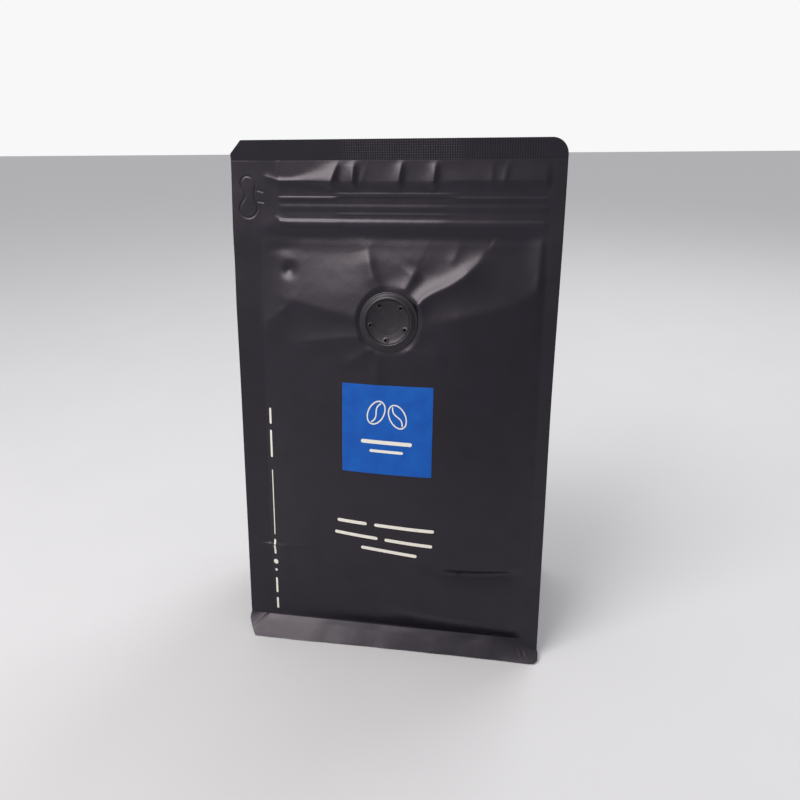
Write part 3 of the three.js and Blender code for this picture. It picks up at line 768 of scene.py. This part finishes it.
# Valve: profile of its disc as (radius, rise over the film) from the sunk rim inwards, and the
# vents with the ring they stand on, the lip round each and the wall down into it
VALVE_SUNK = 0.9
VALVE_PROFILE = [
    (11.75, -VALVE_SUNK), (11.8, 0.2), (11.55, 0.5), (11.15, 0.56), (10.75, 0.6), (10.2, 0.95),
    (9.6, 1.38), (9.3, 1.48), (9.05, 1.48), (8.8, 1.38), (8.5, 1.0), (8.2, 0.72), (7.2, 0.46),
    (5.0, 0.1), (2.5, -0.1), (0.0, -0.16),
]
VENT_RADIUS = 0.5
VENT_RING = 7.2
VENT_ANGLES = (120.0, 48.0, -24.0, -96.0, -168.0)
VENT_DEPTH = 1.0
VENT_WALL = (0.3, 0.55)
VENT_ZONE = 8.3
LIP_RISE = 0.16
LIP_OFFSET = 0.25
LIP_WIDTH = 0.28


def valve_axes():
    """The valve's own axes: along the front's normal, level across, and up the slope. The
    normal comes from the smooth front's slopes over a short step."""
    step = 0.5
    x = np.array([VALVE_X, VALVE_X + step, VALVE_X])
    z = np.array([VALVE_HEIGHT, VALVE_HEIGHT, VALVE_HEIGHT + step])
    depth = panel_depth(x, z)
    slope_x, slope_z = (depth[1] - depth[0]) / step, (depth[2] - depth[0]) / step
    normal = np.array([-slope_x, -1.0, -slope_z])
    normal /= np.linalg.norm(normal)
    across = np.array([1.0, -slope_x, 0.0])
    across /= np.linalg.norm(across)
    centre = np.array([VALVE_X, -depth[0], VALVE_HEIGHT])
    return centre, across, np.cross(normal, across), normal


def valve_shell(turns=288, rings=120):
    """Moulded disc as a polar grid: the profile's rise over each radius, less five vents with a
    raised lip, closed by a flat back."""
    centre, across, upward, normal = valve_axes()
    profile = np.array(VALVE_PROFILE)
    knots = np.arange(len(profile))
    lengths = np.concatenate([[0], np.cumsum(np.hypot(*np.diff(profile, axis=0).T))])
    places = np.interp(np.linspace(0, 1, rings) * lengths[-1], lengths, knots)
    radius = np.interp(places, knots, profile[:, 0])[:-1, None]
    rise = np.interp(places, knots, profile[:, 1])[:-1, None]
    angle = np.arange(turns) * 2 * np.pi / turns
    p, q = radius * np.cos(angle), radius * np.sin(angle)
    height = np.repeat(rise, turns, 1)
    for degrees in VENT_ANGLES:
        turn = math.radians(degrees)
        distance = np.hypot(p - VENT_RING * math.cos(turn), q - VENT_RING * math.sin(turn))
        lip = LIP_RISE * np.exp(-((distance - VENT_RADIUS - LIP_OFFSET) / LIP_WIDTH) ** 2)
        vent = lip - VENT_DEPTH * (1 - smooth(*VENT_WALL, distance))
        height = height + np.where(radius < VENT_ZONE, vent, 0.0)
    grid = centre + p[..., None] * across + q[..., None] * upward + height[..., None] * normal
    top = centre + profile[-1, 1] * normal
    back = centre - VALVE_SUNK * normal
    points = np.concatenate([grid.reshape(-1, 3), [top, back]])
    count = (rings - 1) * turns
    index = np.arange(count).reshape(rings - 1, turns)
    after = np.roll(index, -1, axis=1)
    quads = np.stack([index[:-1], after[:-1], after[1:], index[1:]], -1).reshape(-1, 4)
    cap = np.stack([index[-1], after[-1], np.full(turns, count)], -1)
    floor = np.stack([after[0], index[0], np.full(turns, count + 1)], -1)
    return points, [quads, cap, floor]


# Print on the front: plain bars, dots and lines of ink, standing just proud of the film. The
# ink's back lies a little inside the film.
INK = 0.06
INK_BACK = -0.03
BAR_CELL = 0.4
BAR_TIP = 0.004


def on_front(x, z, lift):
    """A place on the front film, lifted by a small distance."""
    return x, -(panel_depth(x, z) + front_relief(x, z) + lift), z


def bar(x_from, z_from, x_to, z_to, height, lift=INK):
    """Bar with round ends from one place to another: its half height follows a circle at the
    ends."""
    length = math.hypot(x_to - x_from, z_to - z_from)
    along = ((x_to - x_from) / length, (z_to - z_from) / length)

    def place(u, v, inside):
        """Cells are closer at the ends, as on half a cosine wave."""
        run = (0.5 - 0.5 * np.cos(np.pi * u)) * length
        from_end = np.minimum(run, length - run)
        reach = np.clip(1 - from_end / (height / 2), 0.0, 1.0)
        half = height / 2 * np.sqrt(1 - reach ** 2) + BAR_TIP
        off = (2 * v - 1) * half
        x = x_from + along[0] * run - along[1] * off
        z = z_from + along[1] * run + along[0] * off
        return on_front(x, z, INK_BACK if inside else lift)
    return sheet(place, max(16, int(length / BAR_CELL) // 4 * 4), 4)


def stroke(centre, width, steps, lift=INK):
    """Line of ink of one width along centre(t), which gives x and z for t from 0 to 1."""
    def place(u, v, inside):
        """Off the centre line by a share of the width, square to its direction."""
        x, z = centre(u)
        ahead_x, ahead_z = centre(u + 0.001)
        run = np.hypot(ahead_x - x, ahead_z - z)
        off = (v - 0.5) * width
        x, z = x - (ahead_z - z) / run * off, z + (ahead_x - x) / run * off
        return on_front(x, z, INK_BACK if inside else lift)
    return sheet(place, steps, 4)


def turned_line(x, z, turn, shape):
    """Centre line whose shape(t), level and round its own middle, is turned and moved to (x, z)."""
    c, s = math.cos(math.radians(turn)), math.sin(math.radians(turn))

    def centre(t):
        """The place for t, by the sine and cosine of the turn."""
        a, b = shape(t)
        return x + a * c - b * s, z + a * s + b * c
    return centre


def ellipse(wide, high):
    """Ellipse: the cosine and sine of one full turn, stretched."""
    return lambda t: (wide * np.cos(2 * np.pi * t), high * np.sin(2 * np.pi * t))


def bean_seam(length):
    """Seam of a coffee bean, a soft S: straight on, with one full sine wave across."""
    return lambda t: (length * (2 * t - 1), 0.16 * length * np.sin(np.pi * (2 * t - 1)))


# Label: how far its face stands over the film and its back lies inside, and its cut edge
LABEL_LIFT = 0.16
LABEL_BACK = -0.02
LABEL_SIDE = 36
LABEL_EDGE_DROP = 0.05
LABEL_EDGE = 0.3


def label_place(u, v, inside):
    """Label's face, just over the film and square to it, a little lower along its cut edge."""
    x = LABEL_X[0] + (LABEL_X[1] - LABEL_X[0]) * u
    z = LABEL_Z[0] + (LABEL_Z[1] - LABEL_Z[0]) * v
    edge = np.minimum(np.minimum(u, 1 - u), np.minimum(v, 1 - v)) * LABEL_SIDE
    face = LABEL_LIFT - LABEL_EDGE_DROP * (1 - smooth(0.0, LABEL_EDGE, edge))
    return on_front(x, z, LABEL_BACK if inside else face)


def label_print():
    """Two line-drawn coffee beans over two plain bars."""
    lift = LABEL_LIFT + 0.05
    parts = []
    for x, z, turn in ((-4.4, 106.6, 62.0), (4.3, 105.4, 118.0)):
        parts.append(stroke(turned_line(x, z, turn, ellipse(4.9, 3.2)), 0.5, 96, lift))
        parts.append(stroke(turned_line(x, z, turn, bean_seam(4.3)), 0.5, 48, lift))
    parts.append(bar(-10.6, 94.9, 10.4, 94.6, 1.5, lift))
    parts.append(bar(-7.0, 91.2, 6.8, 91.0, 1.1, lift))
    return parts


# Rows of bars under the label, each bar as (x, z) of both ends, and the column of marks beside
# the left seam: bars as (top, foot, width), dots as (height, radius, line width, cells)
ROW_BARS = [(-21.0, 59.9, -8.2, 59.6), (-5.0, 59.5, 20.0, 58.9), (-22.2, 54.4, -3.6, 53.5),
            (-0.6, 53.3, 19.4, 52.3), (-10.8, 48.8, 13.0, 47.4)]
ROW_BAR_HEIGHT = 1.35
MARKS_X = -51.2
MARK_BARS = [(76.4, 46.7, 0.45), (103.5, 96.6, 0.9), (94.0, 82.0, 0.9),
             (44.5, 37.6, 0.9), (26.0, 18.6, 0.9), (16.2, 10.8, 0.9)]
MARK_DOTS = [(33.8, 0.6, 1.0, 48), (29.8, 0.32, 0.5, 24)]


def film_print():
    """Three rows of bars under the label, and a column of marks beside the left seam."""
    parts = [bar(*row, ROW_BAR_HEIGHT) for row in ROW_BARS]
    parts += [bar(MARKS_X, top, MARKS_X, foot, width) for top, foot, width in MARK_BARS]
    parts += [stroke(turned_line(MARKS_X, z, 0.0, ellipse(radius, radius)), line, cells)
              for z, radius, line, cells in MARK_DOTS]
    return parts


def linear(code):
    """Linear colour from an sRGB hex value such as '#2b2930'."""
    parts = [int(code[i:i + 2], 16) / 255 for i in (1, 3, 5)]
    return (*[p / 12.92 if p <= 0.04045 else ((p + 0.055) / 1.055) ** 2.4 for p in parts], 1.0)


def node(tree, kind, settings=None, links=None):
    """Adds a node, sets its values by socket or property name, and links its inputs."""
    made = tree.nodes.new(kind)
    for key, value in (settings or {}).items():
        if key in made.inputs:
            made.inputs[key].default_value = value
        else:
            setattr(made, key, value)
    for key, source in (links or {}).items():
        tree.links.new(source, made.inputs[key])
    return made


# Part of the noise's range over which tone and roughness drift
DRIFT = (0.3, 0.7)


def surface(name, tones, patch, bumps, roughness, ior, sheen="#ffffff"):
    """Coated, printed or moulded surface. Its tone and roughness drift between two values over
    patches of one size, and each bump (size, strength, height) bends what it mirrors. Sizes are
    in millimetres."""
    material = bpy.data.materials.new(name)
    material.use_nodes = True
    tree = material.node_tree
    tree.nodes.clear()
    place = node(tree, "ShaderNodeTexCoord").outputs["Object"]

    def lumps(size):
        """Noise whose lumps are about as large as the size."""
        return node(tree, "ShaderNodeTexNoise", {"Scale": 1.0 / (size * MM), "Detail": 3.0},
                    {"Vector": place}).outputs["Fac"]

    drift = lumps(patch)
    tone = node(tree, "ShaderNodeValToRGB", {}, {"Fac": drift})
    for stop, at, code in zip(tone.color_ramp.elements, DRIFT, tones):
        stop.position = at
        stop.color = linear(code)
    rough = node(tree, "ShaderNodeMapRange",
                 {"From Min": DRIFT[0], "From Max": DRIFT[1],
                  "To Min": roughness[0], "To Max": roughness[1]}, {"Value": drift})
    links = {"Base Color": tone.outputs["Color"], "Roughness": rough.outputs["Result"]}
    for size, strength, height in bumps:
        below = {"Normal": links["Normal"]} if "Normal" in links else {}
        bump = node(tree, "ShaderNodeBump", {"Strength": strength, "Distance": height * MM},
                    {"Height": lumps(size), **below})
        links["Normal"] = bump.outputs["Normal"]
    shader = node(tree, "ShaderNodeBsdfPrincipled",
                  {"IOR": ior, "Specular Tint": linear(sheen)}, links)
    node(tree, "ShaderNodeOutputMaterial", {}, {"Surface": shader.outputs["BSDF"]})
    return material


def finish_piece(piece, material, slot, *nodes):
    """Gives a piece its material and body, and hides the nodes that it replaces; the slot is not
    used.
    """
    piece.data.materials.append(material)
    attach(piece, "root")
    if nodes:
        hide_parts(*nodes)


# Laminate film, printed black and finished with matt lacquer by roller: a dark, slightly violet
# ground under a broad soft sheen. Lumps of 26 mm and 9 mm are the film's own unevenness. The
# lacquer's grain of about 0.03 mm is finer than a pixel, so it is drawn at 0.55 mm.
film = surface("matt_lacquered_laminate", ("#0e0b13", "#130f19"), 9.0,
               [(26.0, 0.3, 1.2), (9.0, 0.25, 0.4), (0.55, 0.12, 0.1)], (0.32, 0.34), 1.45,
               "#fbf3ff")
# Polypropylene moulded against an eroded steel face: a dark even body whose fine pits, drawn at
# 0.3 mm for a real 0.05 mm, keep its highlights soft.
moulded = surface("eroded_mould_polypropylene", ("#0d0b10", "#121014"), 3.0,
                  [(0.3, 0.15, 0.05)], (0.34, 0.40), 1.49, "#fbf3ff")
# Blue gravure ink under the same matt lacquer: a full field whose tone drifts by a hair over
# 6 mm, as the ink film does, with a duller sheen than the black. The lacquer's grain is drawn
# at 0.5 mm here.
blue = surface("gravure_blue_under_lacquer", ("#064597", "#0850a3"), 6.0,
               [(0.5, 0.1, 0.06)], (0.44, 0.50), 1.38, "#d8e6ff")
# Opaque white screen ink: a warm off-white coat, slightly cloudy over 1.5 mm and a little
# rough, drawn with pits of 0.25 mm for real ones of about 0.04 mm.
ink = surface("opaque_screen_ink", ("#cdc9c1", "#d8d4cc"), 1.5,
              [(0.25, 0.2, 0.03)], (0.46, 0.56), 1.45)
# Painted studio floor: pale, nearly even, without a clear mirror image, with the roller's
# stipple of 3 mm.
painted = surface("rolled_floor_paint", ("#b7b7ba", "#b9b9bc"), 60.0,
                  [(3.0, 0.05, 0.1)], (0.76, 0.84), 1.45)

# Each with its cells across and up, and how many of them share one cell of the inner face
panels = [
    closed_sheet("front_panel", panel_place(1, front_x, tabbed_relief), FRONT_COLUMNS, FRONT_ROWS),
    closed_sheet("back_panel", panel_place(-1, lambda u: 1 - 2 * u, back_relief), 160, FRONT_ROWS),
    closed_sheet("gusset_left", gusset_place(LEFT_ROOT, -1), 120, 200, 2, True),
    closed_sheet("gusset_right", gusset_place(RIGHT_ROOT, 1), 120, 200, 2),
    closed_sheet("base_panel", base_place, 120, 80, 4),
    closed_sheet("seal_front", seal_place(1), SEAL_COLUMNS, SEAL_ROWS),
    closed_sheet("seal_back", seal_place(-1), SEAL_COLUMNS, SEAL_ROWS),
]
for panel in panels:
    finish_piece(panel, film, "film", "pouch")

finish_piece(joined("valve_disc", [valve_shell()]), moulded, "valve_plastic", "valve")
finish_piece(closed_sheet("label_face", label_place, 80, 80), blue, "label", "label")
finish_piece(joined("label_print", label_print()), ink, "label")
finish_piece(joined("film_print", film_print()), ink, "label")

# Camera at the photograph's place: angles in degrees, distance and target in millimetres
IMAGE_SIZE = 800
FOCAL_PIXELS = 736.3
SENSOR = 36.0
CAMERA_AZIMUTH = 10.755
CAMERA_ELEVATION = 22.32
CAMERA_ROLL = -1.169
CAMERA_DISTANCE = 316.52
CAMERA_TARGET = (0.762, 0.0, 102.418)

# Stage, in metres: the height that the softboxes face, and half the floor's side
SOFTBOX_AIM = 0.1
FLOOR_HALF = 3.0

# Surroundings: the side that is dimmer, from which share of it on, and how dim
DIM_SIDE = (0.75, -0.66, 0.0)
DIM_FROM = -0.1
DIM_LEVEL = 0.42


def towards(azimuth, elevation):
    """Direction from the bag at an azimuth, counted from the front to the right, and an
    elevation, both in radians."""
    return Vector((math.sin(azimuth) * math.cos(elevation),
                   -math.cos(azimuth) * math.cos(elevation), math.sin(elevation)))


def add_camera():
    """Camera on a sphere round the target, turned by its roll about the line of sight."""
    azimuth, elevation, roll = map(math.radians, (CAMERA_AZIMUTH, CAMERA_ELEVATION, CAMERA_ROLL))
    back = towards(azimuth, elevation)
    level = Vector((math.cos(azimuth), math.sin(azimuth), 0.0))
    upright = back.cross(level)
    right = level * math.cos(roll) + upright * math.sin(roll)
    up = upright * math.cos(roll) - level * math.sin(roll)
    data = bpy.data.cameras.new("camera")
    data.sensor_width = SENSOR
    data.lens = FOCAL_PIXELS / IMAGE_SIZE * SENSOR
    data.clip_start = 0.01
    camera = bpy.data.objects.new("camera", data)
    turn = Matrix((right, up, back)).transposed().to_4x4()
    place = Matrix.Translation((Vector(CAMERA_TARGET) + back * CAMERA_DISTANCE) * MM)
    camera.matrix_world = place @ turn
    bpy.context.scene.collection.objects.link(camera)
    bpy.context.scene.camera = camera


def add_softbox(name, azimuth, elevation, distance, width, height, power, tint):
    """Oblong softbox that faces the middle of the bag: angles in degrees, sizes in metres and
    power in watts."""
    direction = towards(math.radians(azimuth), math.radians(elevation))
    data = bpy.data.lights.new(name, "AREA")
    data.shape = "RECTANGLE"
    data.size, data.size_y = width, height
    data.energy = power
    data.color = linear(tint)[:3]
    light = bpy.data.objects.new(name, data)
    light.location = Vector((0.0, 0.0, SOFTBOX_AIM)) + direction * distance
    light.rotation_mode = "QUATERNION"
    light.rotation_quaternion = direction.to_track_quat("Z", "Y")
    bpy.context.scene.collection.objects.link(light)


def add_floor():
    """Square floor at the bag's foot."""
    corners = [(x * FLOOR_HALF, y * FLOOR_HALF, 0) for x, y in ((-1, -1), (1, -1), (1, 1), (-1, 1))]
    mesh = bpy.data.meshes.new("floor")
    mesh.from_pydata(corners, [], [(0, 1, 2, 3)])
    floor = bpy.data.objects.new("floor", mesh)
    bpy.context.scene.collection.objects.link(floor)
    floor.data.materials.append(painted)


def add_world():
    """Pale surroundings, dimmer towards the right front: brightness falls with the direction's
    share of that side."""
    world = bpy.data.worlds.new("studio")
    bpy.context.scene.world = world
    world.use_nodes = True
    tree = world.node_tree
    tree.nodes.clear()
    sight = node(tree, "ShaderNodeTexCoord").outputs["Generated"]
    side = node(tree, "ShaderNodeVectorMath", {"operation": "DOT_PRODUCT"}, {0: sight})
    side.inputs[1].default_value = DIM_SIDE
    level = node(tree, "ShaderNodeMapRange",
                 {"interpolation_type": "SMOOTHSTEP", "From Min": DIM_FROM, "From Max": 1.0,
                  "To Min": 1.0, "To Max": DIM_LEVEL}, {"Value": side.outputs["Value"]})
    light = node(tree, "ShaderNodeBackground", {"Color": linear("#f8f8f9")},
                 {"Strength": level.outputs["Result"]})
    node(tree, "ShaderNodeOutputWorld", {}, {"Surface": light.outputs["Background"]})


# Plain display of colours, as a product photograph has them
bpy.context.scene.view_settings.view_transform = "Standard"

add_camera()
add_softbox("key_softbox", -37.0, 51.0, 0.9, 0.5, 0.5, 7.3, "#fffaf4")
add_softbox("back_softbox", 150.0, 48.0, 0.9, 0.4, 0.4, 3.0, "#ffffff")
add_floor()
add_world()
